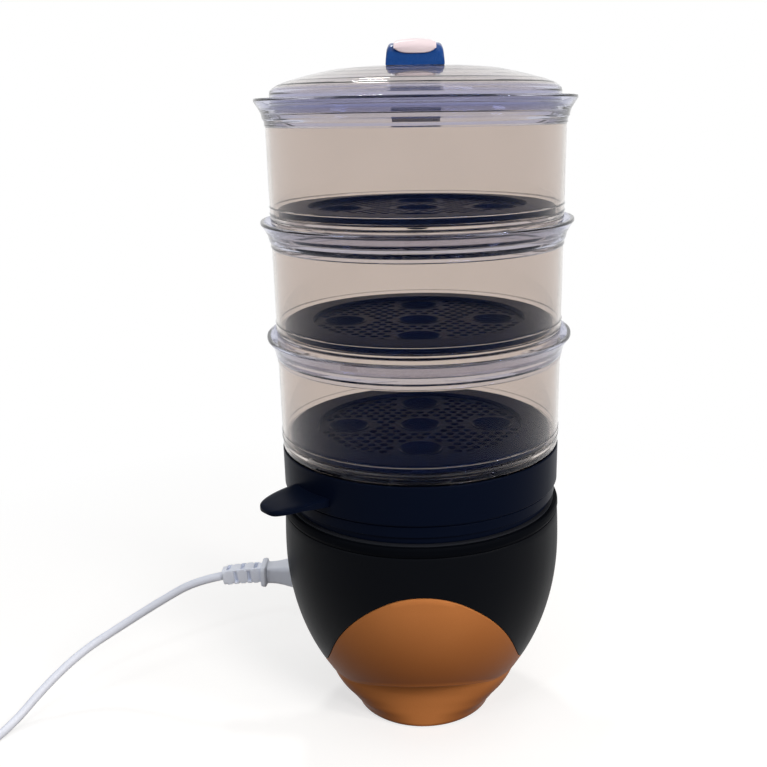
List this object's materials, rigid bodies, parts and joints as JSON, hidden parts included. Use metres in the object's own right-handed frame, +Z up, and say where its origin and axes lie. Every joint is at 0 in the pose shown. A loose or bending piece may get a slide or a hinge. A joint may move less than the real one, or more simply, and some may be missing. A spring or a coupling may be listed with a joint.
{
  "type": "electric food steamer",
  "caption": "Tall food steamer: dark egg-shaped heating base with copper belly, drip tray with lifting tabs, nested clear bowls with perforated egg-cup trays, domed lid, white lead.",
  "frame": {"origin": "on the table, under the middle of the foot", "axes": "+Z up; -Y the front with the plain belly and the lid handle end-on; -X the side that the lead leaves by; +Y the back with the timer"},
  "size_m": [0.6267, 0.2671, 0.5452],
  "materials": {
    "navy_plastic": "satin",
    "navy_tray": "semi-gloss",
    "navy_blue": "gloss",
    "copper_paint": "metallic satin",
    "clear_plastic": "clear gloss",
    "pink_cream": "gloss",
    "grey_plastic": "matt",
    "black_plastic": "matt",
    "white_plastic": "satin",
    "steel": "brushed",
    "aluminium": "cast",
    "brass": "bright",
    "rubber": "matt",
    "silicone": "matt",
    "red_lens": "clear gloss"
  },
  "bodies": {
    "base": {"copper_shell": "copper_paint", "base_body": "navy_plastic", "base_collar": "navy_plastic", "reservoir": "grey_plastic", "reservoir_seal": "silicone", "heating_plate": "steel", "heating_element": "aluminium", "clamp_ring": "steel", "clamp_screws": "steel", "thermostat": "black_plastic", "thermal_fuse": "aluminium", "base_plate": "black_plastic", "base_screws": "steel", "rubber_feet": "rubber", "terminal_block": "white_plastic", "timer_body": "black_plastic", "timer_screws": "steel", "pilot_lens": "red_lens", "pilot_lamp": "white_plastic", "inlet_socket": "black_plastic", "inlet_pins": "brass"},
    "steam_sleeve": {"steam_sleeve": "grey_plastic"},
    "timer": {"timer_shaft": "steel", "timer_knob": "navy_plastic"},
    "drip_tray": {"drip_tray": "navy_plastic"},
    "bowl_1": {"bowl_1": "clear_plastic"},
    "bowl_2": {"bowl_2": "clear_plastic"},
    "bowl_3": {"bowl_3": "clear_plastic"},
    "tray_1": {"tray_1": "navy_tray"},
    "tray_2": {"tray_2": "navy_tray"},
    "tray_3": {"tray_3": "navy_tray"},
    "lid": {"lid": "clear_plastic", "lid_handle": "navy_blue", "handle_inset": "pink_cream", "handle_screws": "steel"},
    "lead": {"connector": "white_plastic", "strain_relief": "white_plastic", "cord": "white_plastic", "cord_coil": "white_plastic", "cord_tail": "white_plastic", "mains_plug": "white_plastic", "plug_pins": "brass"}
  },
  "joints": [
    {"name": "drip_tray_lift", "type": "slide", "parent": "base", "child": "drip_tray", "axis": [0, 0, 1], "range_m": [0, 0.06]},
    {"name": "bowl_1_lift", "type": "slide", "parent": "drip_tray", "child": "bowl_1", "axis": [0, 0, 1], "range_m": [0, 0.05]},
    {"name": "bowl_2_lift", "type": "slide", "parent": "bowl_1", "child": "bowl_2", "axis": [0, 0, 1], "range_m": [0, 0.05]},
    {"name": "bowl_3_lift", "type": "slide", "parent": "bowl_2", "child": "bowl_3", "axis": [0, 0, 1], "range_m": [0, 0.05]},
    {"name": "lid_lift", "type": "slide", "parent": "bowl_3", "child": "lid", "axis": [0, 0, 1], "range_m": [0, 0.05]},
    {"name": "tray_1_lift", "type": "slide", "parent": "bowl_1", "child": "tray_1", "axis": [0, 0, 1], "range_m": [0, 0.06]},
    {"name": "tray_2_lift", "type": "slide", "parent": "bowl_2", "child": "tray_2", "axis": [0, 0, 1], "range_m": [0, 0.06]},
    {"name": "tray_3_lift", "type": "slide", "parent": "bowl_3", "child": "tray_3", "axis": [0, 0, 1], "range_m": [0, 0.06]},
    {"name": "steam_sleeve_lift", "type": "slide", "parent": "base", "child": "steam_sleeve", "axis": [0, 0, 1], "range_m": [0, 0.018]},
    {"name": "timer_turn", "type": "hinge", "parent": "base", "child": "timer", "pos_m": [0, 0.099, 0.099], "axis": [0, -1, 0], "range_deg": [0, 300]},
    {"name": "connector_pull", "type": "slide", "parent": "base", "child": "lead", "axis": [-1, 0, 0], "range_m": [0, 0.03]}
  ]
}
